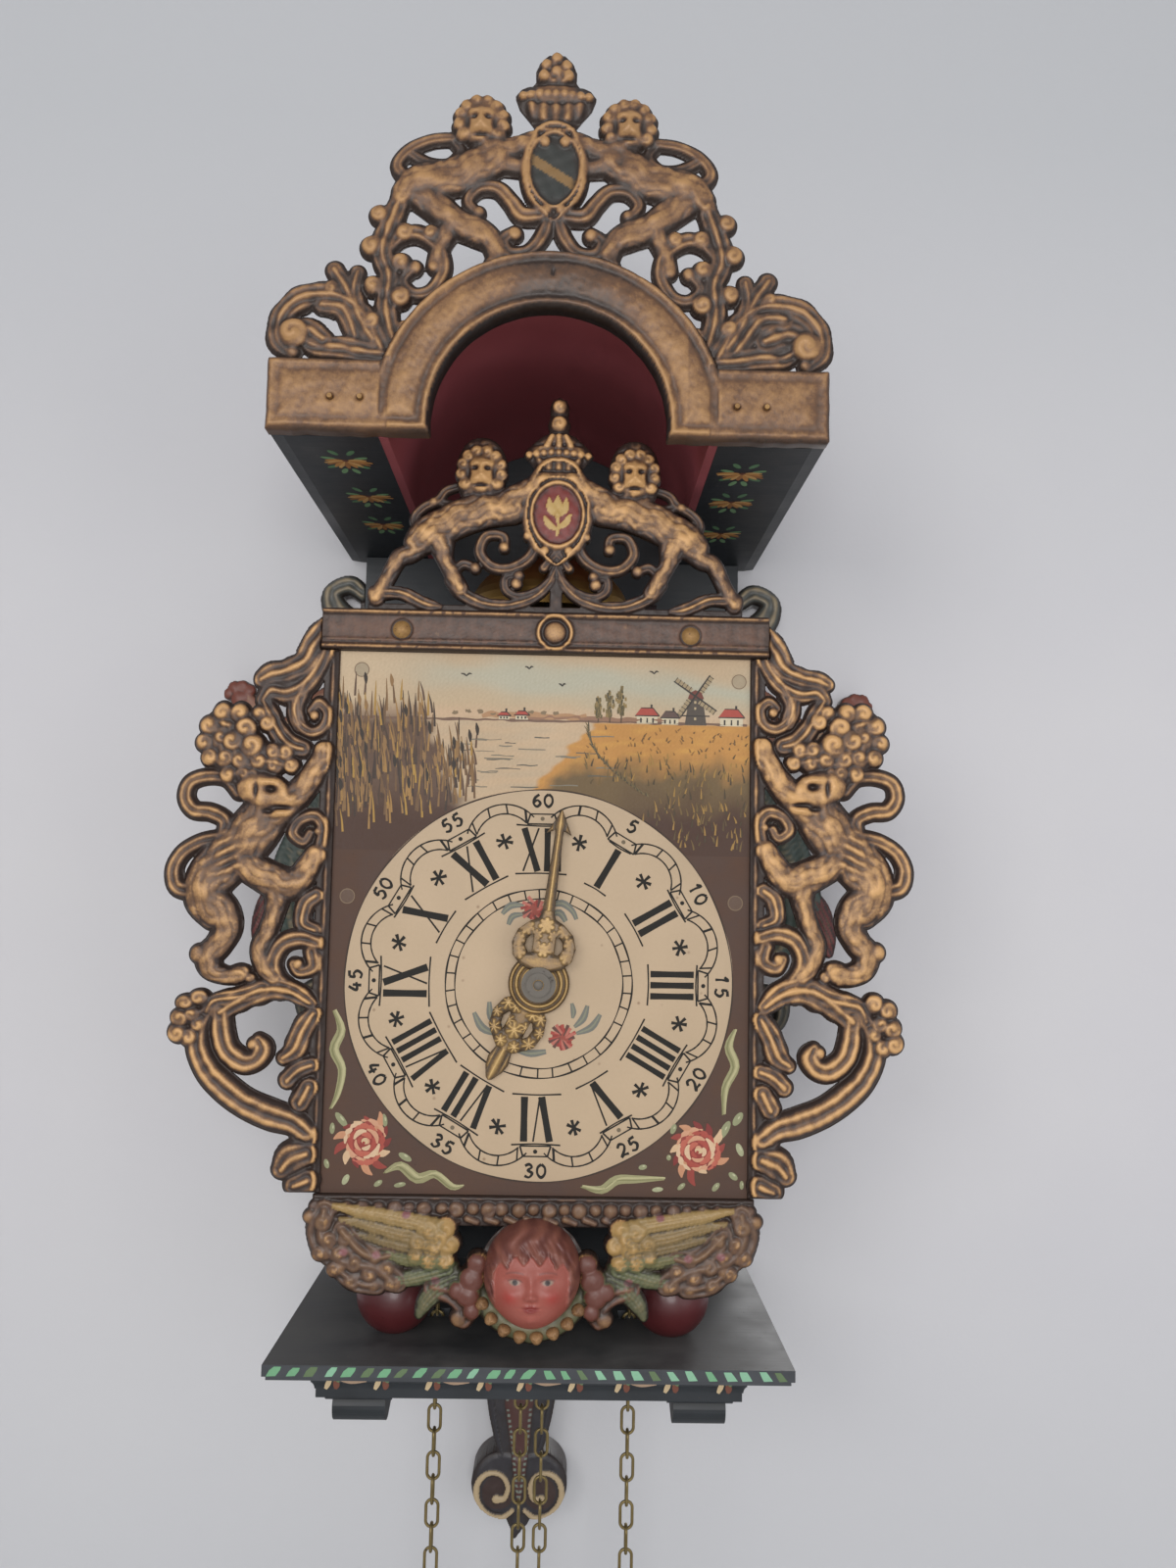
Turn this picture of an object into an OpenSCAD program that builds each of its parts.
// Chair clock: a posted chain-driven movement on ball feet, standing on a carved wall bracket
// under a canopy. X runs to the right, Y into the wall, Z up. The origin is the centre of the
// hanging hole at the wall. Heights in the modules are counted from the top of the shelf.

/* [Case] */
// Height of the hanging hole above the canopy's underside
hole_up = 32; // [28:1:38]
// Width of the shelf board
shelf_w = 236; // [220:1:250]
// Depth of the shelf board from the wall
shelf_d = 167; // [160:1:180]
// Thickness of the shelf board
shelf_t = 7; // [5:0.5:10]
// Height of the moulding under the shelf
moulding_h = 11; // [8:1:16]
// Width of the canopy
canopy_w = 246; // [240:1:256]
// Depth of the canopy from the wall
canopy_d = 215; // [205:1:230]
// Height of the canopy's underside above the shelf
canopy_z = 408; // [404:1:412]
// Inner radius of the canopy's arch
arch_r = 52; // [48:0.5:54]
// Inner radius of the vault behind the arch
vault_r = 71; // [69:0.5:73]
// Thickness of the back board
back_t = 12; // [10:0.5:15]
// Radius of the hanging hole
hang_r = 3.5; // [3:0.1:4.5]

/* [Dial] */
// Width of the dial plate
dial_w = 200; // [196:0.5:202]
// Lower edge of the dial plate above the shelf
dial_z = 66; // [64:0.5:68]
// Height of the dial plate
dial_h = 260; // [258:0.5:262]
// Height of the hand arbor above the shelf
centre_z = 167; // [163:0.5:170]
// Distance from the wall to the dial's painted face
dial_y = 150; // [149:0.5:152]
// Height of the rail above the dial
rail_h = 20; // [18:0.5:22]
// Length of the minute hand from the arbor
minute_l = 82; // [74:1:86]
// Length of the hour hand from the arbor
hour_l = 50; // [44:1:56]

/* [Movement] */
// Width of the movement frame
frame_w = 190; // [188:1:196]
// Height of the movement frame's underside above the shelf
frame_z = 57; // [55:0.5:60]
// Thickness of the frame's base and top
frame_t = 4; // [3:0.5:5]
// Radius of the ball feet
ball_r = 18.5; // [16:0.5:20]
// Distance between the two front feet
feet_x = 132; // [124:1:140]
// Half the distance between the two great arbors
arbor_x = 26.5; // [25.5:0.1:27.5]
// Length of the pendulum from its arbor to the middle of its bob
pendulum_l = 201; // [190:1:205]
// Radius of the pendulum bob
bob_r = 17; // [14:0.5:20]
// Outer radius of the bell
bell_r = 43; // [40:0.5:44]
// Running clearance of an arbor in its hole
run = 0.05; // [0.03:0.01:0.09]

/* [Chains and weights] */
// Length of one chain link over all
link_l = 14.3; // [13.8:0.1:14.6]
// Width of one chain link over all
link_w = 7.4; // [7:0.1:8]
// Radius of the chain wire
wire_r = 0.75; // [0.65:0.05:0.85]
// Links on the strand that carries the weight
drop_links = 26; // [24:2:30]
// Radius of a weight
weight_r = 17; // [14:0.5:20]
// Height of a weight's body
weight_h = 90; // [70:1:110]

/* [Hidden] */
$fn = 48;
hang_h = canopy_z + hole_up;   // height of the hanging hole above the shelf
front_y = -134;          // front of the front movement plate
rear_y = -50;            // rear of the back movement plate
plate_t = 2;
frame_front = -dial_y + 1.2;
frame_back = -46;
frame_top = dial_z + dial_h + frame_t;
plate_w = frame_w - 22;
clear = 0.3;
pitch = link_l - 4 * wire_r - 0.1;
// Distance of a wrapped link's middle from the great arbor, and of the straight strands
wrap_r = (link_l / 2 - wire_r - (wire_r + 0.12) / cos(15)) / tan(15);
chain_r = wrap_r / cos(15);
chain_y = -100;
bell_y = -95;
vault_z = canopy_z - 4;
tilt = 6.6;              // the minute hand's angle at rest
hour_tilt = 207;         // the hour hand's angle at rest
crest_shift = 4;         // the dial's crest sits a little to the right
bracket_shift = -6;      // the wall bracket sits a little to the left

// Tooth counts and modules
great_n = 60; great_m = 1.2; centre_p = 10;
centre_n = 60; centre_m = 1; third_p = 6;
third_n = 60; third_m = 0.9; escape_p = 6;
escape_n = 40; escape_r = 18;
cannon_n = 10; minute_n = 30; minute_p = 8; hour_n = 32; motion_m = 0.9;
pin_p = 10; pin_n = 78; pin_m = 0.75; hoop_p = 6;
hoop_n = 48; hoop_m = 0.9; warn_p = 6;
warn_n = 40; warn_m = 0.8; fly_p = 6;

function mesh_d(a, b, m) = m * (a + b) / 2;
function up_from(p, dx, d) = [p[0] + dx, p[1] + sqrt(d * d - dx * dx)];
function bearing(a, b) = atan2(b[1] - a[1], b[0] - a[0]);
// Phase of a gear of nb teeth at b that meshes with a gear of na teeth at a
function mesh(a, na, pa, b, nb) =
    bearing(a, b) + 180 - (0.5 - (bearing(a, b) - pa) * na / 360) * 360 / nb;

C = [0, centre_z];
G = [-arbor_x, centre_z - sqrt(pow(mesh_d(great_n, centre_p, great_m), 2) - arbor_x * arbor_x)];
T = up_from(C, -12, mesh_d(centre_n, third_p, centre_m));
E = up_from(T, 12, mesh_d(third_n, escape_p, third_m));
P = [E[0], E[1] + escape_r * sqrt(2)];
M = [C[0] + 15, C[1] - sqrt(pow(mesh_d(cannon_n, minute_n, motion_m), 2) - 225)];
S = [arbor_x, G[1]];
A2 = up_from(S, 17.5, mesh_d(great_n, pin_p, great_m));
A3 = up_from(A2, 6, mesh_d(pin_n, hoop_p, pin_m));
A4 = up_from(A3, -8, mesh_d(hoop_n, warn_p, hoop_m));
A5 = up_from(A4, -14, mesh_d(warn_n, fly_p, warn_m));
H = [frame_w / 2 - 18, centre_z + 33];   // hammer arbor
L = [frame_w / 2 - 31, centre_z + 69];   // lifting lever arbor

// Gear phases, each worked out from the gear it meshes with
great_ph = 0;
centre_pph = mesh(G, great_n, great_ph, C, centre_p);
centre_ph = 0;
third_pph = mesh(C, centre_n, centre_ph, T, third_p);
third_ph = 0;
escape_pph = mesh(T, third_n, third_ph, E, escape_p);
cannon_ph = 0;
minute_ph = mesh(C, cannon_n, cannon_ph, M, minute_n);
minute_pph = 0;
hour_ph = mesh(M, minute_p, minute_pph, C, hour_n);
pin_pph = mesh(S, great_n, 0, A2, pin_p);
hoop_pph = mesh(A2, pin_n, 0, A3, hoop_p);
warn_pph = mesh(A3, hoop_n, 0, A4, warn_p);
fly_pph = mesh(A4, warn_n, 0, A5, fly_p);

// Colours
wood_black = "#1d2226"; wood_red = "#5a2328"; gilt = "#9a713c"; brass = "#b08d4a";
steel = "#8b8d8f"; umber = "#5b4433"; lead = "#777777"; flesh = "#c07a5e"; green = "#4f7a68";

// Moves heights counted from the shelf into the part's frame
module on_shelf() { translate([0, 0, -hang_h]) children(); }
// Puts a drawing in X and Z at the depth y; what is extruded there grows towards the front
module front(y) { translate([0, y, 0]) rotate([90, 0, 0]) children(); }
module both() { children(); mirror([1, 0, 0]) children(); }
// A rod along Y from y0 (nearer the front) to y1
module rod(p, r, y0, y1) { translate([p[0], y1, p[1]]) rotate([90, 0, 0]) cylinder(r = r, h = y1 - y0); }

// Points [x, z, half width] on a smooth curve through hand-placed ones
function blend(a, b, c, d, t) = 0.5 * (2 * b + (c - a) * t + (2 * a - 5 * b + 4 * c - d) * t * t
    + (3 * b - a - 3 * c + d) * t * t * t);
function curve(p, n) = [for (i = [0:len(p) - 2]) for (k = [0:n - 1])
    blend(p[max(i - 1, 0)], p[i], p[i + 1], p[min(i + 2, len(p) - 1)], k / n), p[len(p) - 1]];
function across(q, i) = let (a = q[max(i - 1, 0)], b = q[min(i + 1, len(q) - 1)],
    d = [b[0] - a[0], b[1] - a[1]]) [-d[1], d[0]] / norm(d);
function edge(q, s, g) = [for (i = [0:len(q) - 1]) let (m = across(q, i))
    [q[i][0] + s * g * q[i][2] * m[0], q[i][1] + s * g * q[i][2] * m[1]]];
function tip(q, i, s, g) = let (m = across(q, i)) [for (a = [45, 0, -45])
    [q[i][0] + g * q[i][2] * (s * sin(a) * m[0] + s * cos(a) * m[1]),
     q[i][1] + g * q[i][2] * (s * sin(a) * m[1] - s * cos(a) * m[0])]];
function back_to_front(v) = [for (i = [len(v) - 1:-1:0]) v[i]];
// One carved stroke with round ends; g below 1 gives its raised middle
module stroke(p, g = 1, n = 3) {
    q = curve(p, n);
    polygon(concat(edge(q, 1, g), tip(q, len(q) - 1, 1, g), back_to_front(edge(q, -1, g)),
        tip(q, 0, -1, g)));
}
module strokes(list, g = 1) { for (p = list) stroke(p, g); }
module knob(x, z, r) { translate([x, z]) circle(r = r); }

// Gears, drawn in X and Z
module teeth(n, m, phase, top = 0.85, root = 1.2, w = 0.4) {
    r = n * m / 2;
    s = 360 / n;
    polygon([for (i = [0:n - 1]) for (v = [[r - root * m, -w * 0.62], [r, -w / 2],
        [r + top * m, -w * 0.2], [r + top * m, w * 0.2], [r, w / 2], [r - root * m, w * 0.62]])
        v[0] * [cos(phase + (i + v[1]) * s), sin(phase + (i + v[1]) * s)]]);
}
module leaves(n, m, phase) { teeth(n, m, phase, 0.6, 1.15, 0.36); }
module windows(rim, hub, spoke) {
    difference() {
        circle(r = rim);
        circle(r = hub);
        square([2 * rim + 2, spoke], center = true);
        square([spoke, 2 * rim + 2], center = true);
    }
}
module wheel(c, y, t, n, m, phase, hub, spoke) {
    front(y) translate([c[0], c[1], 0]) linear_extrude(t) difference() {
        teeth(n, m, phase);
        windows(n * m / 2 - 2.6 * m - 1.2, hub, spoke);
    }
}
module pinion(c, y, t, n, m, phase) {
    front(y) translate([c[0], c[1], 0]) linear_extrude(t) leaves(n, m, phase);
}
// Arbor between the plates with a pivot at each end
module arbor(c, r, pivot) {
    rod(c, r, front_y + plate_t + 0.2, rear_y - plate_t - 0.2);
    rod(c, pivot, front_y - 0.3, rear_y + 0.3);
}

// Case

// Outline of the back board: straight sides behind the dial and a round head inside the vault
back_w = shelf_w - 12;
module back_outline() {
    translate([-back_w / 2, 0]) square([back_w, canopy_z - clear]);
    circle_at(0, vault_z, vault_r - clear);
}
module back_board() {
    color(wood_black) on_shelf() difference() {
        front(0) linear_extrude(back_t) back_outline();
        rod([0, hang_h], hang_r + 6, -back_t - 1, 1);
    }
}
module hanging_plate() {
    color(steel) on_shelf() front(0) linear_extrude(back_t) difference() {
        circle_at(0, hang_h, hang_r + 6 - 0.05);
        circle_at(0, hang_h, hang_r);
    }
}
module circle_at(x, z, r) { translate([x, z]) circle(r = r); }

// A carved mermaid on the side of the back board, drawn for the right side of a board 224 mm wide
mermaid_body = [[112, 340, 9], [122, 330, 12], [128, 312, 12], [122, 292, 9], [126, 270, 12],
    [138, 244, 15], [150, 214, 15], [148, 190, 10], [134, 176, 6]];
mermaid_arm = [[122, 330, 7], [140, 318, 6], [156, 304, 5.5], [170, 312, 5], [182, 322, 6]];
mermaid_fin = [[150, 214, 9], [160, 200, 9], [167, 186, 5], [168, 176, 2.5]];
mermaid_scroll = [[112, 146, 6], [128, 152, 6], [140, 146, 5], [138, 134, 4], [128, 134, 4]];
mermaid_foot = [[112, 108, 6], [124, 104, 6], [134, 94, 4.5], [130, 86, 4]];
mermaid_hair = [[112, 352, 9], [120, 366, 9], [130, 376, 8], [132, 386, 6], [122, 392, 6],
    [114, 386, 6]];
module mermaid() {
    translate([back_w / 2 - 112, 0, 0]) difference() {
        union() {
            front(-2) linear_extrude(9) {
                strokes([mermaid_body, mermaid_arm, mermaid_fin, mermaid_scroll, mermaid_foot,
                    mermaid_hair]);
                knob(185, 324, 9);
                knob(120, 350, 11);
                translate([112, 88]) square([3, 300]);
            }
            front(-10.9) linear_extrude(4) {
                strokes([mermaid_body, mermaid_fin, mermaid_scroll, mermaid_hair], 0.6);
                knob(185, 324, 6);
            }
            translate([120, -10, 350]) sphere(r = 9);
        }
        front(1) linear_extrude(30) translate([-5, 0]) square([117.05, 420]);
    }
}
module mermaid_right() { color(green) on_shelf() mermaid(); }
module mermaid_left() { color(green) on_shelf() mirror([1, 0, 0]) mermaid(); }

// The chains pass the shelf, its moulding and the frame's base through the same slots
slot_half = link_w / 2 + 2;
module chain_slots(h) {
    for (s = [-1, 1]) for (x = [arbor_x - chain_r, arbor_x + chain_r])
        translate([s * x - slot_half, chain_y - slot_half, -h / 2]) cube([2 * slot_half, 2 * slot_half, h]);
}
module shelf_board() {
    color(wood_black) on_shelf() difference() {
        union() {
            translate([-shelf_w / 2, -shelf_d, -shelf_t + 2]) cube([shelf_w, shelf_d, shelf_t - 2]);
            translate([-shelf_w / 2 + 1.5, -shelf_d + 1.5, -shelf_t])
                cube([shelf_w - 3, shelf_d - 1.5, 2]);
        }
        chain_slots(40);
    }
}
// Open frame of moulding below the shelf: a fillet over a hollow
module shelf_moulding() {
    w = shelf_w / 2 - 20;
    f = -shelf_d + 9;
    color(wood_black) on_shelf() translate([0, 0, -shelf_t - moulding_h]) difference() {
        union() {
            translate([-w, f, 4]) cube([2 * w, -f, moulding_h - 4]);
            translate([-w + 2, f + 2, 0]) cube([2 * w - 4, -f - 2, 4]);
        }
        translate([-w + 14, f + 14, -1]) cube([2 * w - 28, -f - 30, moulding_h + 2]);
        for (s = [-1, 1]) translate([s * (w + 3), 0, 4]) rotate([90, 0, 0]) cylinder(r = 4.5, h = 400, center = true);
        translate([0, f - 3, 4]) rotate([0, 90, 0]) cylinder(r = 4.5, h = 400, center = true);
    }
}
// A scroll-ended block under each side of the moulding
module corbel() {
    top = -shelf_t - moulding_h;
    translate([62, 0, top]) difference() {
        union() {
            translate([0, -136, -7]) cube([32, 136, 7]);
            translate([4, -128, -13]) cube([24, 112, 7]);
            translate([4, -124, -7.5]) rotate([0, 90, 0]) cylinder(r = 6, h = 24);
            translate([4, -20, -7.5]) rotate([0, 90, 0]) cylinder(r = 6, h = 24);
        }
        translate([-1, -108, -24]) rotate([0, 90, 0]) cylinder(r = 13, h = 40);
        translate([-1, -50, -24]) rotate([0, 90, 0]) cylinder(r = 13, h = 40);
    }
}
module shelf_corbels() { color(wood_black) on_shelf() both() corbel(); }

// The bracket on the wall under the shelf: a tapered neck that ends in two volutes and a point
bracket_neck = [[0, -20, 21], [0, -50, 20], [0, -72, 18], [0, -98, 12], [0, -118, 9], [0, -134, 8],
    [-2, -146, 3.5], [-4, -152, 1.2]];
volute_out = [[9, -104, 4.5], [19, -106, 5.5], [27, -115, 6], [27, -127, 6], [18, -135, 5.5],
    [9, -131, 5], [8, -122, 4.5]];
module bracket_2d(g) {
    difference() {
        stroke(bracket_neck, g, 4);
        translate([-40, -shelf_t - moulding_h]) square([80, 40]);
    }
    both_2d() stroke(volute_out, g);
}
module wall_bracket() {
    color(wood_black) on_shelf() translate([bracket_shift, 0, 0]) {
        front(0) linear_extrude(20) {
            bracket_2d(1);
            both_2d() knob(17, -120, 9);
        }
        front(-19.9) linear_extrude(4) {
            bracket_2d(0.55);
            both_2d() knob(17, -121, 3.6);
        }
        translate([-24, -44, -28]) cube([48, 44, 28 - shelf_t - moulding_h]);
    }
}
module both_2d() { children(); mirror([1, 0]) children(); }

// Outline of the canopy's moulding, between an inner and an outer line
canopy_spring = canopy_z + 6;
band_h = 32;             // height of the straight ends
arch_band = 26;          // width of the arch
module moulding_band(inner, outer) {
    difference() {
        union() {
            translate([-canopy_w / 2 + inner, canopy_z + inner])
                square([canopy_w - 2 * inner, band_h - inner - outer]);
            circle_at(0, canopy_spring, arch_r + arch_band - outer);
        }
        translate([0, canopy_spring]) circle(r = arch_r + inner);
        translate([-arch_r - inner, canopy_z - 80]) square([2 * (arch_r + inner), 80 + canopy_spring - canopy_z]);
        translate([-canopy_w, canopy_z - 80]) square([2 * canopy_w, 80 + inner]);
    }
}
canopy_front_t = 12;
screw_x = [canopy_w / 2 - 41, canopy_w / 2 - 28];
module canopy_front() {
    color(gilt) on_shelf() difference() {
        union() {
            front(-canopy_d + canopy_front_t) linear_extrude(canopy_front_t - 3) moulding_band(0, 0);
            front(-canopy_d + 3.01) linear_extrude(1.5) moulding_band(1, 1);
            front(-canopy_d + 3.01) linear_extrude(3) difference() {
                moulding_band(0.6, 0.6);
                moulding_band(4, 5);
            }
        }
        for (x = screw_x) for (s = [-1, 1]) rod([s * x, canopy_z + 14], 1.1, -canopy_d - 1, -canopy_d + 8);
    }
}
canopy_in = -canopy_d + canopy_front_t;
soffit_t = 6;
module canopy_soffits() {
    color(wood_black) on_shelf() both() translate([vault_r + 4, canopy_in, canopy_z])
        cube([canopy_w / 2 - vault_r - 4 - 6, -canopy_in, soffit_t]);
}
module canopy_sides() {
    color(wood_black) on_shelf() both() front(0) linear_extrude(-canopy_in)
        polygon([[canopy_w / 2 - 6, canopy_z], [canopy_w / 2, canopy_z + 1], [canopy_w / 2, canopy_z + 22],
            [canopy_w / 2 - 4, canopy_z + 26], [canopy_w / 2 - 6, canopy_z + 26]]);
}
module canopy_vault() {
    color(wood_red) on_shelf() front(0) linear_extrude(-canopy_in) {
        difference() {
            circle_at(0, vault_z, vault_r + 4);
            circle_at(0, vault_z, vault_r);
            translate([-200, canopy_z - 200]) square([400, 200]);
        }
    }
}

// Canopy crest, drawn for the right half: scrolls, a climbing lion and half of the shield
crest_leaf = [[74, 446, 5], [82, 461, 5], [95, 470, 5.5], [109, 469, 6], [118, 460, 5.5],
    [120, 449, 4.5], [114, 443, 3]];
crest_lobes = [[72, 444, 5], [90, 446, 6], [104, 447, 5], [112, 455, 3]];
crest_sprout = [[78, 450, 5], [86, 464, 5], [92, 475, 5], [96, 482, 4]];
crest_sprout_in = [[84, 462, 4], [87, 472, 4], [86, 481, 3.5]];
crest_stem = [[68, 448, 5], [73, 466, 5], [72, 480, 5], [75, 491, 5.5], [73, 503, 5.5], [69, 513, 5]];
crest_volute = [[75, 488, 3], [69, 497, 3.5], [60, 500, 4], [51, 494, 3.5], [48, 484, 3.2],
    [53, 474, 3], [61, 472, 2.8], [66, 478, 2.6], [61, 484, 2.6]];
crest_leg = [[60, 520, 8], [52, 513, 7], [44, 506, 6.5], [34, 502, 6.5], [27, 497, 5], [24, 488, 4.5]];
crest_shin = [[46, 503, 5], [50, 494, 4], [52, 486, 3.5]];
crest_body = [[66, 519, 6], [60, 524, 8], [48, 526, 8.5], [38, 530, 9], [27, 537, 9]];
crest_arm = [[30, 540, 6], [20, 541, 5], [10, 545, 4.5]];
crest_chest = [[30, 534, 6], [22, 534, 5], [12, 532, 4]];
crest_tail = [[64, 524, 3.2], [70, 531, 2.8], [65, 539, 2.8], [55, 544, 2.6], [46, 545, 2.6]];
crest_tail_end = [[46, 545, 2.6], [42, 539, 2.6], [47, 533, 2.6], [56, 533, 2.6], [64, 537, 2.6]];
crest_scroll = [[6, 510, 4], [14, 510, 4], [19, 516, 3.6], [25, 522, 3.4], [33, 522, 3.2],
    [38, 516, 2.6], [34, 510, 2.2]];
crest_curl = [[2, 509, 3.2], [5, 500, 3.4], [11, 493, 3.2], [19, 492, 3.6], [22, 498, 3.2],
    [17, 502, 2.8]];
crest_shield = [[0, 547, 9], [0, 538, 13], [0, 527, 13.5], [0, 517, 9], [0, 509, 4]];
crest_crown = [[0, 545, 8], [0, 553, 8.5], [0, 559, 14], [0, 564, 17], [0, 569, 10], [0, 575, 8.5],
    [0, 580, 6.5], [0, 584, 2.5]];
crest_side = [crest_leaf, crest_lobes, crest_sprout, crest_sprout_in, crest_stem, crest_volute,
    crest_leg, crest_shin, crest_body, crest_arm, crest_chest, crest_tail, crest_tail_end,
    crest_scroll, crest_curl];
module crest_2d(g) {
    both_2d() strokes(crest_side, g);
    stroke(crest_shield, g);
    stroke(crest_crown, g);
    both_2d() knob(33, 552, 11.5 * g);
}
module seated_crest(g) {
    difference() {
        translate([0, canopy_z - 408]) crest_2d(g);
        circle_at(0, canopy_spring, arch_r + arch_band + 0.2);
        translate([-200, canopy_z]) square([400, band_h + 0.2]);
    }
}
module canopy_crest() {
    seat = canopy_in - 0.2 - 6;
    color(gilt) on_shelf() {
        front(seat + 4) linear_extrude(4) seated_crest(1);
        front(seat + 1) linear_extrude(3.5) seated_crest(0.55);
        both() rod([33, 144 + canopy_z], 5, seat - 4.5, seat - 1);
    }
}

// Movement frame

module base_plate() {
    color(steel) on_shelf() difference() {
        translate([-frame_w / 2, frame_front, frame_z]) cube([frame_w, frame_back - frame_front, frame_t]);
        chain_slots(200);
    }
}
module top_plate() {
    color(steel) on_shelf() difference() {
        translate([-frame_w / 2, frame_front, frame_top - frame_t])
            cube([frame_w, frame_back - frame_front, frame_t]);
        translate([H[0] - 23, bell_y - 6, frame_top - 10]) cube([31, 12, 20]);
    }
}
pillar_r = 4;
pillar_x = frame_w / 2 - pillar_r - 0.5;
pillar_y = [frame_front + pillar_r + 0.1, frame_back - pillar_r - 1];
module frame_pillars() {
    h = frame_top - 2 * frame_t - frame_z;
    color(steel) on_shelf() both() for (y = pillar_y)
        translate([pillar_x, y, frame_z + frame_t]) rotate_extrude()
            polygon([[0, 0], [pillar_r, 0], [pillar_r, 10], [2.8, 14], [2.8, h / 2 - 8],
                [pillar_r, h / 2 - 4], [pillar_r, h / 2 + 4], [2.8, h / 2 + 8], [2.8, h - 14],
                [pillar_r, h - 10], [pillar_r, h], [0, h]]);
}
// Turned foot: a ball, a neck and a flared head under the frame
module ball_foot() {
    rotate_extrude() {
        intersection() {
            translate([0, ball_r - 1.5]) circle(r = ball_r);
            square([ball_r + 1, 33]);
        }
        polygon([[0, 30], [8, 30], [7.5, 36], [9, 40], [15, 46], [16, 50], [16, 53], [14, 55],
            [14, frame_z], [0, frame_z]]);
    }
}
rear_feet_y = -64;
front_feet_y = -122;
module ball_feet() {
    color(wood_red) on_shelf() both() for (y = [front_feet_y, rear_feet_y])
        translate([feet_x / 2, y, 0]) ball_foot();
}
// Arbors that run in both movement plates, with the radius of their pivots
pivot_r = 1.1;
hand_r = 2.4;
pipe_r = 3.1;            // pipe of the cannon pinion, which carries the minute hand
great_r = 2.6;
stud_r = 1.6;
plates_from = frame_z + frame_t;
plates_to = frame_top - frame_t;
module plate_2d() {
    difference() {
        translate([-plate_w / 2, plates_from]) square([plate_w, plates_to - plates_from]);
        circle_at(-plate_w / 2 + 38, centre_z + 95, 24);
        circle_at(-plate_w / 2 + 28, centre_z + 29, 12);
        for (c = [T, E, P, A2, A3, A4, A5, H, L]) circle_at(c[0], c[1], pivot_r + run);
        for (c = [G, S]) circle_at(c[0], c[1], great_r + run);
    }
}
module front_plate() {
    color(brass) on_shelf() {
        front(front_y + plate_t) linear_extrude(plate_t) difference() {
            plate_2d();
            circle_at(C[0], C[1], hand_r + run);
        }
        rod(M, stud_r, front_y - 12.5, front_y + 0.1);
    }
}
module back_plate() {
    color(brass) on_shelf() front(rear_y) linear_extrude(plate_t) difference() {
        plate_2d();
        circle_at(C[0], C[1], pivot_r + run);
    }
}
module anchor_cock() {
    y0 = -24;
    color(brass) on_shelf() {
        front(y0 + 2) linear_extrude(2) difference() {
            translate([P[0] - 20, P[1] - 5]) square([40, 26]);
            circle_at(P[0], P[1], pivot_r + run);
        }
        for (s = [-1, 1]) front(y0) linear_extrude(y0 - rear_y)
            translate([P[0] + s * 17 - 3, P[1] + 13]) square([6, 8]);
    }
}

// Dial group

module dial_plate() {
    color(umber) on_shelf() front(-dial_y + 1.2) linear_extrude(1.2) difference() {
        translate([-dial_w / 2, dial_z]) square([dial_w, dial_h]);
        circle_at(C[0], C[1], 5.6);
    }
}
rail_z = dial_z + dial_h - 3;
module dial_top_rail() {
    w = dial_w / 2 + 7;
    color(umber) on_shelf() {
        front(-dial_y) linear_extrude(4) translate([-w, rail_z]) square([2 * w, rail_h]);
        front(-dial_y - 3.99) linear_extrude(2) {
            translate([-w, rail_z]) square([2 * w, 3]);
            translate([-w, rail_z + 4.2]) square([2 * w, 1.2]);
            translate([-w, rail_z + rail_h - 3]) square([2 * w, 3]);
        }
        translate([crest_shift, 0, rail_z + rail_h / 2]) front(-dial_y - 3.99) {
            linear_extrude(2) difference() { circle(r = 9.3); circle(r = 6.6); }
            linear_extrude(3) circle(r = 5);
        }
    }
}
// Round-headed screws on the rail and nail heads on the canopy
module gilt_screws() {
    color(gilt) on_shelf() for (s = [-1, 1]) {
        translate([s * 69, -dial_y - 4.05, rail_z + rail_h / 2]) rotate([90, 0, 0]) intersection() {
            translate([0, 0, -3]) sphere(r = 5.2);
            cylinder(r = 5, h = 4);
        }
        for (x = screw_x) rod([s * x, canopy_z + 14], 1.05, -canopy_d + 0.6, -canopy_d + 7.9);
    }
}

dialcrest_arm = [[26, 396, 7], [14, 403, 6], [7, 407, 6]];
dialcrest_body = [[22, 394, 8], [36, 393, 9.5], [50, 387, 9], [62, 380, 9], [68, 376, 6]];
dialcrest_leg = [[64, 378, 7], [70, 371, 5], [76, 368, 4.5], [81, 358, 4], [86, 349, 4.5]];
dialcrest_toe = [[87, 351, 4], [74, 351, 3.5], [62, 346, 3.5], [56, 345, 2]];
dialcrest_shin = [[56, 377, 7], [54, 369, 4.5], [50, 361, 4.2], [46, 354, 4.2]];
dialcrest_sweep = [[50, 358, 4.5], [44, 351, 4], [34, 347, 3.4], [22, 346.5, 3], [11, 350, 2.8],
    [4, 357, 2.6], [0, 366, 2.4]];
dialcrest_curl = [[2, 360, 2.2], [9, 354, 2], [18, 351, 2.2], [24, 354, 2.4], [24, 360, 2.4],
    [18, 361, 2.4]];
dialcrest_volute = [[9, 380, 3.2], [13, 370, 3.2], [22, 364.5, 3], [31, 365, 3], [37, 372, 3],
    [34, 380, 2.8], [26, 380, 2.6], [25, 374, 2.6]];
dialcrest_bud = [[50, 361, 2.4], [45, 366, 2.6], [39, 364, 2.6]];
dialcrest_tail = [[64, 380, 3], [69, 387, 2.6], [65, 393, 2.6], [58, 397, 2.6], [54, 402, 2.4],
    [47, 404.5, 2.4]];
dialcrest_tail_end = [[47, 404.5, 2.4], [42.5, 400, 2.4], [47, 395, 2.4], [55, 396, 2.2], [60, 396, 2.2]];
dialcrest_curls = [[-1, 374, 2.4], [3, 369, 2.2], [6, 365, 2.6]];
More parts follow.
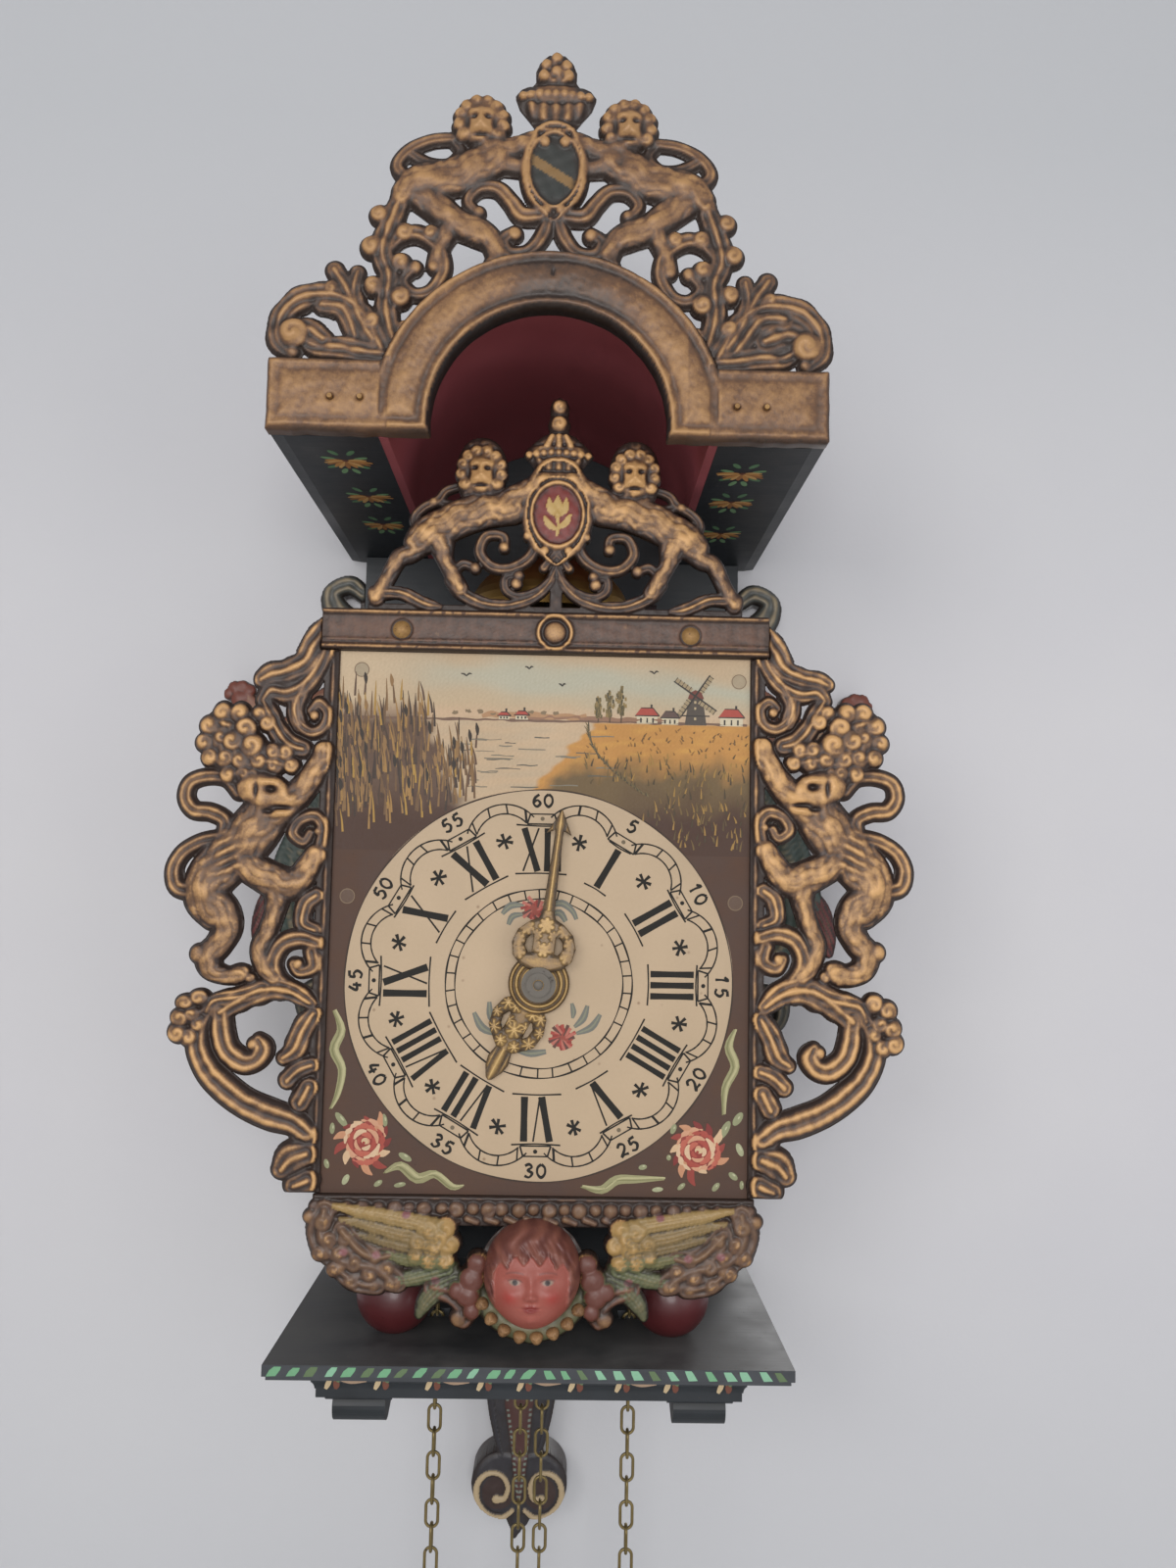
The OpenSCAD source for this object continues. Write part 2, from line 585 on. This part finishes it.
dialcrest_side = [dialcrest_arm, dialcrest_body, dialcrest_leg, dialcrest_toe, dialcrest_shin,
    dialcrest_sweep, dialcrest_curl, dialcrest_volute, dialcrest_bud, dialcrest_tail,
    dialcrest_tail_end, dialcrest_curls];
dialcrest_shield = [[0, 407, 13], [0, 399, 17], [0, 387, 17], [0, 377, 10], [0, 370, 4]];
dialcrest_crown = [[0, 405, 13], [0, 411, 9], [0, 416, 12], [0, 420.5, 17], [0, 425, 12.5],
    [0, 430, 7], [0, 433, 4.5], [0, 436.5, 6], [0, 440, 4], [0, 444, 5], [0, 449, 1.8]];
module dialcrest_2d(g) {
    difference() {
        union() {
            both_2d() strokes(dialcrest_side, g);
            stroke(dialcrest_shield, g);
            stroke(dialcrest_crown, g);
            both_2d() stroke([[37, 404, 11], [37, 413, 12.5], [37, 418, 11]], g);
            both_2d() knob(19, 357, 3.2 * g);
        }
        translate([-100, rail_z + rail_h - 19.9]) square([200, 20]);
    }
}
module dial_crest() {
    seat = rail_z + rail_h + 0.1;
    color(gilt) on_shelf() translate([crest_shift, 0, 0]) {
        front(-dial_y - 0.2) linear_extrude(3.5) {
            dialcrest_2d(1);
            translate([-90, seat]) square([180, 3]);
            translate([-3, seat]) square([6, 18]);
        }
        front(-dial_y - 2.7) linear_extrude(3.2) {
            dialcrest_2d(0.55);
            translate([-90, seat]) square([180, 1.6]);
        }
        both() rod([37, 411], 5, -dial_y - 7.5, -dial_y - 5);
    }
}

// Side frets, drawn for the right side of a dial 200 mm wide
fret_leaf_a = [[103, 332, 5], [110, 324, 5], [113, 315, 4.5], [104, 309, 4]];
fret_leaf_b = [[104, 310, 4], [114, 309, 4.2], [124, 308, 4], [131, 305, 3.2]];
fret_leaf_c = [[107, 302, 3.4], [117, 302, 3.6], [126, 300, 4], [129, 292, 4.2], [128, 284, 4.5],
    [122, 277, 4.5]];
fret_curl_a = [[104, 306, 3], [109, 298, 3], [111, 290, 3], [106, 284, 2.8], [101, 288, 2.4]];
fret_mane = [[146, 262, 13], [132, 264, 10], [124, 272, 7]];
fret_arm = [[136, 248, 10], [126, 251, 8], [116, 259, 6.5], [109, 270, 5], [103, 275, 4.5]];
fret_curl_b = [[103, 222, 3.2], [106, 232, 3], [110, 241, 3], [117, 243, 3], [120, 236, 3],
    [114, 233, 2.8]];
fret_body = [[136, 256, 12], [141, 242, 12], [149, 228, 11.5], [157, 214, 11], [156, 202, 9.5],
    [151, 193, 7]];
fret_tail_a = [[147, 242, 3.6], [157, 240, 3.5], [167, 244, 3.4], [171, 252, 3.3], [166, 260, 3.3]];
fret_tail_b = [[166, 260, 3.3], [157, 260, 3.4], [151, 254, 3.5], [146, 246, 4]];
fret_tail_c = [[152, 238, 3.6], [162, 233, 3.4], [170, 225, 3.4], [172, 215, 3.6], [167, 208, 3.8],
    [160, 206, 4]];
fret_shank = [[151, 196, 8], [151, 187, 5.5], [155, 179, 5], [152, 171, 4.8], [145, 167, 4.6],
    [138, 169, 4]];
fret_thigh = [[148, 216, 8], [136, 213, 7], [125, 210, 6.2], [115, 214, 5], [109, 221, 4.6]];
fret_limb = [[128, 208, 5], [129, 194, 4.4], [131, 181, 4.4], [128, 171, 4.4], [121, 163, 4.4]];
fret_curl_c = [[127, 172, 3.4], [122, 181, 3.4], [114, 184, 3.2], [107, 179, 3.2], [108, 172, 3]];
fret_sprig = [[107, 214, 3.4], [110, 204, 3.4], [109, 194, 3.4], [103, 188, 3]];
fret_ring = [[149, 163, 5], [154, 150, 5], [155, 137, 4.8], [152, 125, 4.8], [145, 115, 4.8],
    [134, 108, 4.8], [122, 105, 5], [110, 102, 5.5], [103, 94, 5]];
fret_inner = [[150, 166, 5], [138, 157, 6.5], [125, 158, 6], [115, 151, 5.5], [109, 141, 5.5],
    [110, 130, 5.5], [105, 120, 4.5]];
fret_lobe = [[152, 154, 4], [147, 143, 4], [144, 134, 4], [139, 128, 4]];
fret_bud = [[108, 128, 5], [117, 131, 5], [126, 132, 5]];
fret_bud_b = [[112, 122, 4], [121, 121, 4.4]];
fret_foot = [[103, 98, 5], [110, 89, 6], [119, 85, 4]];
fret_foot_b = [[117, 84, 4], [111, 76, 6], [104, 71, 4]];
fret_side = [fret_leaf_a, fret_leaf_b, fret_leaf_c, fret_curl_a, fret_mane, fret_arm, fret_curl_b,
    fret_body, fret_tail_a, fret_tail_b, fret_tail_c, fret_shank, fret_thigh, fret_limb,
    fret_curl_c, fret_sprig, fret_ring, fret_inner, fret_lobe, fret_bud, fret_bud_b, fret_foot, fret_foot_b];
fret_lumps = [[148, 277, 14], [161, 283, 7], [137, 273, 8.5], [159, 269, 7], [158, 157, 5.5],
    [163, 147, 5.2], [160, 141, 5.5]];
// The frets stand on the apron and stop beside the rail
fret_from = dial_z + 4 + clear;
module fret_2d(g) {
    difference() {
        union() {
            strokes(fret_side, g);
            for (k = fret_lumps) knob(k[0], k[1], k[2] * g);
        }
        translate([80, rail_z - clear]) square([27.1, 40]);
        translate([80, fret_from - 40]) square([80, 40]);
    }
}
bar_x = 98.5;
module side_fret() {
    translate([dial_w / 2 - 100, 0, 0]) fret_carving();
}
module fret_carving() {
    front(-dial_y - 0.05) linear_extrude(3.5) {
        fret_2d(1);
        translate([bar_x, fret_from]) square([7, rail_z - clear - fret_from]);
        translate([107.1, rail_z - 2]) square([4, 14]);
    }
    front(-dial_y - 2.5) linear_extrude(3.5) {
        fret_2d(0.55);
        translate([bar_x + 1, fret_from]) square([2.5, rail_z - clear - fret_from]);
    }
    rod([148, 277], 6, -dial_y - 8, -dial_y - 5);
}
module side_fret_right() { color(gilt) on_shelf() side_fret(); }
module side_fret_left() { color(gilt) on_shelf() mirror([1, 0, 0]) side_fret(); }

// Apron under the dial: scroll edge, wings and a winged child's head
apron_leaf = [[97, 64, 5], [101, 54, 6], [98, 45, 6.5], [90, 38, 6], [78, 37, 6], [66, 36, 5.5],
    [60, 30, 4]];
apron_wing = [[28, 48, 6], [42, 52, 9], [56, 54, 6.5], [74, 57, 4.6], [94, 63, 3]];
apron_feather = [[34, 46, 7], [48, 45, 6.5], [62, 46, 5], [78, 49, 3.5]];
apron_ruffle = [[40, 44, 7], [48, 40, 5.5], [53, 34, 3.5]];
apron_curl = [[48, 32, 5], [37, 29, 6], [31, 22, 6], [33, 16, 4]];
apron_collar = [[0, 10, 5], [12, 13, 4.5], [21, 21, 4.5], [26, 30, 4]];
module apron_2d(g) {
    difference() {
        union() {
            both_2d() strokes([apron_leaf, apron_wing, apron_feather, apron_ruffle, apron_curl, apron_collar], g);
            knob(0, 36, 24 * g);
        }
        translate([-120, dial_z + 4]) square([240, 20]);
    }
}
module cherub_apron() {
    color(gilt) on_shelf() {
        front(-dial_y - 0.2) linear_extrude(4) {
            apron_2d(1);
            translate([-101, dial_z - 8]) square([202, 12]);
        }
        front(-dial_y - 3.2) linear_extrude(3.5) {
            both_2d() strokes([apron_leaf, apron_wing, apron_feather, apron_ruffle, apron_curl], 0.55);
            for (i = [-9:9]) knob(i * 10.6, dial_z - 1, 3);
        }
        translate([0, -dial_y - 0.2, 37]) rotate([90, 0, 0]) rotate_extrude()
            polygon([[0, 0], [22.5, 0], [24, 5], [23, 11], [20, 17], [15, 22], [8, 24.6], [0, 25.3]]);
        for (a = [-60:20:60]) translate([24 * sin(a), -dial_y - 6, 34 - 25 * cos(a)]) sphere(r = 3);
    }
}

// Hands, drawn pointing up

// A symmetrical outline from the points of its right half, first and last on the axis
module mirrored(half) {
    n = len(half);
    polygon(concat(half, [for (i = [n - 2:-1:1]) [-half[i][0], half[i][1]]]));
}
hour_half = [[0, 8], [6, 9], [11, 13], [13.2, 20], [12, 27], [7, 32], [4, 34.5], [4.6, 37], [5.2, 40],
    [4.4, 44], [1.6, hour_l - 1], [0, hour_l]];
hour_eye = [[3, 16], [7, 15.5], [9.8, 20], [9, 25.5], [5.5, 29], [3, 28]];
minute_half = [[0, 5], [5, 6], [10, 8], [13.8, 12], [15, 18], [13, 24], [8, 28.5], [4, 30.5], [3, 33],
    [2.6, 40], [2.2, 55], [1.9, minute_l - 10], [6, minute_l - 12], [0, minute_l]];
minute_eye = [[3.2, 12], [8, 11.5], [11.2, 16], [10.4, 21], [6.5, 25], [3.2, 24]];
module hour_hand() {
    color(gilt) on_shelf() {
        front(-dial_y - 1.5) linear_extrude(2) translate(C) difference() {
            rotate(-hour_tilt) difference() {
                union() {
                    circle(r = 12);
                    mirrored(hour_half);
                }
                both_2d() polygon(hour_eye);
            }
            circle(r = 4.6 + run);
        }
        front(-dial_y - 2.5) linear_extrude(2) translate(C) difference() {
            circle(r = 9.5);
            circle(r = 4.6 + run);
        }
    }
}
module minute_hand() {
    color(gilt) on_shelf() front(-dial_y - 6) linear_extrude(2) translate(C) difference() {
        rotate(-tilt) difference() {
            union() {
                circle(r = 7.5);
                mirrored(minute_half);
            }
            both_2d() polygon(minute_eye);
        }
        circle(r = pipe_r + run);
    }
}
module hand_nut() {
    color(steel) on_shelf() difference() {
        union() {
            rod(C, 8, -dial_y - 10.5, -dial_y - 8.15);
            rod(C, 5.5, -dial_y - 12, -dial_y - 10.4);
        }
        rod(C, hand_r + run, -dial_y - 20, -dial_y);
    }
}

// Motion work behind the dial

module cannon_pinion() {
    color(brass) on_shelf() difference() {
        union() {
            pinion(C, front_y - 2, 4, cannon_n, motion_m, cannon_ph);
            rod(C, pipe_r, -dial_y - 8.05, front_y - 2);
        }
        rod(C, hand_r + run, -dial_y - 20, 0);
    }
}
module minute_wheel() {
    color(brass) on_shelf() difference() {
        union() {
            wheel(M, front_y - 3, 2, minute_n, motion_m, minute_ph, 5, 3);
            pinion(M, front_y - 4.9, 6, minute_p, motion_m, minute_pph);
        }
        rod(M, stud_r + run, front_y - 20, 0);
    }
}
module hour_wheel() {
    color(brass) on_shelf() difference() {
        union() {
            wheel(C, front_y - 8, 2, hour_n, motion_m, hour_ph, 7, 3);
            rod(C, 4.6, -dial_y - 4.5, front_y - 8);
        }
        rod(C, pipe_r + run, -dial_y - 20, 0);
    }
}

// Going train

great_arbor_r = 3.4;
fine_r = 1.25;
arbor_r = 1.6;
module great_wheel() {
    color(brass) on_shelf() {
        wheel(G, -106.75, 2.5, great_n, great_m, great_ph, 10, 5);
        arbor(G, great_arbor_r, great_r);
    }
}
module centre_wheel() {
    color(brass) on_shelf() {
        wheel(C, -119, 2, centre_n, centre_m, centre_ph, 8, 4);
        pinion(C, -105.5, 5, centre_p, great_m, centre_pph);
        rod(C, hand_r, -dial_y - 12.6, rear_y - plate_t - 0.2);
        rod(C, pivot_r, rear_y - plate_t - 0.3, rear_y + 0.3);
    }
}
module third_wheel() {
    color(brass) on_shelf() {
        wheel(T, -111, 2, third_n, third_m, third_ph, 6, 3.5);
        pinion(T, -116, 8, third_p, centre_m, third_pph);
        arbor(T, arbor_r, pivot_r);
    }
}
module escape_wheel() {
    r = escape_r;
    s = 360 / escape_n;
    color(brass) on_shelf() {
        front(-103) translate(E) linear_extrude(2) difference() {
            polygon([for (i = [0:escape_n - 1]) for (v = [[r - 3, 0], [r, 0.35], [r, 0.45], [r - 3, 0.62]])
                v[0] * [cos((i + v[1]) * s), sin((i + v[1]) * s)]]);
            windows(r - 5.5, 5, 2.6);
        }
        pinion(E, -108, 8, escape_p, third_m, escape_pph);
        arbor(E, fine_r, pivot_r);
    }
}
// The pallets stand clear of the wheel's teeth through the whole swing
anchor_arm = [[-14.5, -11, 1.2], [-14.3, -6, 1.8], [-8, 0, 2.8], [0, 1.5, 3.6], [8, 0, 2.8],
    [14.3, -6, 1.8], [14.5, -11, 1.2]];
module anchor() {
    color(steel) on_shelf() {
        front(-103) translate(P) linear_extrude(2) stroke(anchor_arm);
        arbor(P, arbor_r, pivot_r);
        rod(P, pivot_r, rear_y, -21.7);
    }
}
bob_z = P[1] - pendulum_l;
module pendulum_rod() {
    color(steel) on_shelf() {
        difference() {
            union() {
                rod(P, 4, -33, -27);
                translate([0, -30, bob_z - bob_r - 8]) cylinder(r = 1.2, h = pendulum_l + bob_r + 6);
            }
            rod(P, pivot_r + run, -40, -20);
        }
        translate([0, -30, bob_z - bob_r - 5]) cylinder(r = 3, h = 3);
    }
}
module pendulum_bob() {
    lens = [for (a = [0:10:80]) [bob_r * cos(a), 4.5 * pow(sin(a), 1.5) + 0.5]];
    color(brass) on_shelf() difference() {
        translate([0, -30, bob_z]) rotate([90, 0, 0]) rotate_extrude()
            polygon(concat([[0, -5]], back_to_front([for (q = lens) [q[0], -q[1]]]), lens, [[0, 5]]));
        translate([0, -30, bob_z - bob_r - 5]) cylinder(r = 1.2 + run, h = 2 * bob_r + 10);
    }
}

// Chain wheels

// The teeth stand in the links that lie flat
module sprocket(c, first) {
    color(brass) on_shelf() difference() {
        union() {
            rod(c, wrap_r - link_w / 2 - 0.3, chain_y - 5, chain_y + 5);
            for (y = [chain_y - 4.5, chain_y + 1.2]) rod(c, wrap_r - wire_r - 0.1, y, y + 3.3);
            for (y = [chain_y - 5, chain_y + 4]) rod(c, wrap_r + 4, y, y + 1);
            for (i = [0:5]) translate([c[0], chain_y, c[1]]) rotate([0, first - 60 * i, 0])
                translate([wrap_r - 5, -0.9, -1.2]) cube([6, 1.8, 2.4]);
        }
        rod(c, great_arbor_r + run, chain_y - 10, chain_y + 10);
    }
}
module going_sprocket() { sprocket(G, 15); }
module strike_sprocket() { sprocket(S, 45); }

// Striking train

module strike_great_wheel() {
    color(brass) on_shelf() {
        wheel(S, -90.75, 2.5, great_n, great_m, 0, 10, 5);
        arbor(S, great_arbor_r, great_r);
        rod(S, great_r, rear_y, -45.6);
    }
}
pins = 13;
module pin_wheel() {
    color(brass) on_shelf() {
        wheel(A2, -81, 2, pin_n, pin_m, 0, 7, 4);
        front(-81) translate(A2) linear_extrude(2) difference() {
            circle(r = 24);
            circle(r = 20);
        }
        pinion(A2, -86, 12, pin_p, great_m, pin_pph);
        arbor(A2, arbor_r, pivot_r);
        for (i = [0:pins - 1]) rod(A2 + 22 * [cos(i * 360 / pins), sin(i * 360 / pins)], 1, -81.5, -77);
    }
}
module hoop_wheel() {
    color(brass) on_shelf() {
        wheel(A3, -89, 2, hoop_n, hoop_m, 0, 5, 3);
        front(-91) translate(A3) linear_extrude(2) difference() {
            circle(r = 18.5);
            circle(r = 16.5);
            translate([10, 12]) rotate(50) square([20, 6], center = true);
        }
        pinion(A3, -78, 8, hoop_p, pin_m, hoop_pph);
        arbor(A3, fine_r, pivot_r);
    }
}
module warning_wheel() {
    color(brass) on_shelf() {
        wheel(A4, -97, 2, warn_n, warn_m, 0, 4.5, 3);
        rod(A4 + [-13.4, 0], 0.8, -97.5, -95);
        pinion(A4, -86, 8, warn_p, hoop_m, warn_pph);
        arbor(A4, fine_r, pivot_r);
    }
}
module fly() {
    color(brass) on_shelf() {
        pinion(A5, -94, 8, fly_p, warn_m, fly_pph);
        front(-62) translate(A5) linear_extrude(28) {
            circle(r = 2.4);
            square([24, 1.2], center = true);
        }
        arbor(A5, fine_r, pivot_r);
    }
}
// Disc that counts the blows: one notch after each hour's strokes
module count_wheel() {
    color(brass) on_shelf() front(-46.2) translate(S) linear_extrude(1.6) difference() {
        circle(r = 30);
        for (h = [1:12]) rotate(-h * (h + 1) / 2 / 78 * 360) translate([28, -1.4]) square([4, 2.8]);
        windows(23, 9, 5);
        circle(r = great_r + run);
    }
}
// The arm leaves by the slot in the top plate and ends in the hammer's head
hammer_in = bell_r + 11 - H[0];
hammer_up = frame_top - H[1];
hammer_arm = [[0, 0, 3.4], [0, 30, 2.6], [0.5, hammer_up - 42, 2.6],
    [0.35 * hammer_in, hammer_up - 12, 2.6], [hammer_in, hammer_up + 22, 3]];
module hammer() {
    to_pins = (A2 - H) / norm(A2 - H);
    color(steel) on_shelf() {
        front(bell_y + 1) translate(H) linear_extrude(2) stroke(hammer_arm);
        translate([bell_r + 1.5, bell_y, frame_top + 26]) rotate([0, 90, 0]) cylinder(r = 6, h = 12);
        front(-78) translate(H) linear_extrude(2)
            stroke([[0, 0, 3.4], [to_pins[0] * 8, to_pins[1] * 8, 2], [to_pins[0] * 15, to_pins[1] * 15, 1.3]]);
        arbor(H, arbor_r, pivot_r);
    }
}
module lifting_lever() {
    to_wheel = (A3 - L) / norm(A3 - L);
    to_pin = [36, centre_z + 3] - L;
    color(steel) on_shelf() {
        front(-91) translate(L) linear_extrude(2)
            stroke([[0, 0, 3.2], [to_wheel[0] * 10, to_wheel[1] * 10, 1.4]]);
        front(-136) translate(L) linear_extrude(2)
            stroke([[0, 0, 3.2], [to_pin[0] / 2, to_pin[1] / 2, 2], [to_pin[0], to_pin[1], 1.6]]);
        arbor(L, arbor_r, pivot_r);
        rod(L, pivot_r, front_y - 4, front_y);
    }
}

// Bell

function dome(r, h, n) = [for (i = [0:n]) [r * cos(i * 86 / n), h * sin(i * 86 / n)]];
bell_z = frame_top + 22;
module bell() {
    r = bell_r;
    color(brass) on_shelf() translate([0, bell_y, bell_z]) rotate_extrude()
        polygon(concat(dome(r, 34, 12), back_to_front(dome(r - 1.8, 32.2, 12))));
}
module bell_stand() {
    color(steel) on_shelf() translate([0, bell_y, frame_top]) rotate_extrude()
        polygon([[0, 0], [8, 0], [8, 2], [2.6, 4], [2.6, 52], [4.6, 52], [4.6, 53.94], [2.4, 53.94], [2.4, 56.1],
            [5, 56.1], [5, 58.5], [2.4, 60], [0, 60]]);
}

// Chains and weights, drawn for the going side; the other side is its mirror image

arc_r = link_w / 2 - wire_r;
side_h = link_l - 2 * wire_r - 2 * arc_r;
// One link standing upright in X and Z
module link() {
    for (s = [0, 1]) mirror([0, 0, s]) translate([0, 0, side_h / 2]) rotate([90, 0, 0])
        rotate_extrude(angle = 180) translate([arc_r, 0]) circle(r = wire_r, $fn = 16);
    for (s = [-1, 1]) translate([s * arc_r, 0, -side_h / 2]) cylinder(r = wire_r, h = side_h, $fn = 16);
}
module strand(x, first, n, turn) {
    for (i = [0:n - 1]) translate([x, chain_y, first - i * pitch]) rotate([0, 0, (i + turn) % 2 * 90]) link();
}
outer_x = -arbor_x - chain_r;
inner_x = -arbor_x + chain_r;
first_z = G[1] - pitch / 2;
module chain_drop() { color(brass) on_shelf() strand(outer_x, first_z, drop_links, 0); }
module chain_tail(n) {
    end = first_z - n * pitch;
    color(brass) on_shelf() {
        strand(inner_x, first_z, n, 1);
        translate([inner_x, chain_y, end + pitch / 2 - link_l / 2 + 2.9]) rotate([90, 0, 0])
            rotate_extrude() translate([4, 0]) circle(r = wire_r, $fn = 16);
    }
}
module chain_wrap() {
    color(brass) on_shelf() for (i = [0:5]) translate([-arbor_x, chain_y, G[1]])
        rotate([0, -15 - 30 * i, 0]) translate([wrap_r, 0, 0]) rotate([0, 0, i % 2 * 90]) link();
}
module weight() {
    end = first_z - (drop_links - 1) * pitch - link_l / 2 + wire_r;
    eye = end + wire_r + 1 - 4 + 0.1;
    color(lead) on_shelf() translate([outer_x, chain_y, 0]) {
        translate([0, 0, eye]) rotate([90, 0, 0]) rotate_extrude() translate([4, 0]) circle(r = 0.9, $fn = 16);
        translate([0, 0, eye - 3.5]) rotate_extrude()
            polygon([[0, 0], [2.4, 0], [2.4, -6], [weight_r - 4, -12], [weight_r, -16],
                [weight_r, -16 - weight_h], [weight_r - 3, -19 - weight_h], [0, -19 - weight_h]]);
    }
}
module going_chain_drop() { chain_drop(); }
module going_chain_wrap() { chain_wrap(); }
module going_chain_tail() { chain_tail(27); }
module going_weight() { weight(); }
module strike_chain_drop() { mirror([1, 0, 0]) chain_drop(); }
module strike_chain_wrap() { mirror([1, 0, 0]) chain_wrap(); }
module strike_chain_tail() { mirror([1, 0, 0]) chain_tail(29); }
module strike_weight() { mirror([1, 0, 0]) weight(); }

back_board();
mermaid_left();
mermaid_right();
shelf_board();
shelf_moulding();
shelf_corbels();
wall_bracket();
canopy_front();
canopy_soffits();
canopy_sides();
canopy_vault();
canopy_crest();
hanging_plate();
base_plate();
top_plate();
frame_pillars();
ball_feet();
front_plate();
back_plate();
dial_plate();
side_fret_left();
side_fret_right();
dial_top_rail();
dial_crest();
cherub_apron();
gilt_screws();
hour_hand();
minute_hand();
hand_nut();
cannon_pinion();
minute_wheel();
hour_wheel();
great_wheel();
centre_wheel();
third_wheel();
escape_wheel();
anchor();
pendulum_rod();
pendulum_bob();
anchor_cock();
going_sprocket();
strike_great_wheel();
pin_wheel();
hoop_wheel();
warning_wheel();
fly();
count_wheel();
strike_sprocket();
hammer();
lifting_lever();
bell();
bell_stand();
going_chain_drop();
going_chain_wrap();
going_chain_tail();
strike_chain_drop();
strike_chain_wrap();
strike_chain_tail();
going_weight();
strike_weight();
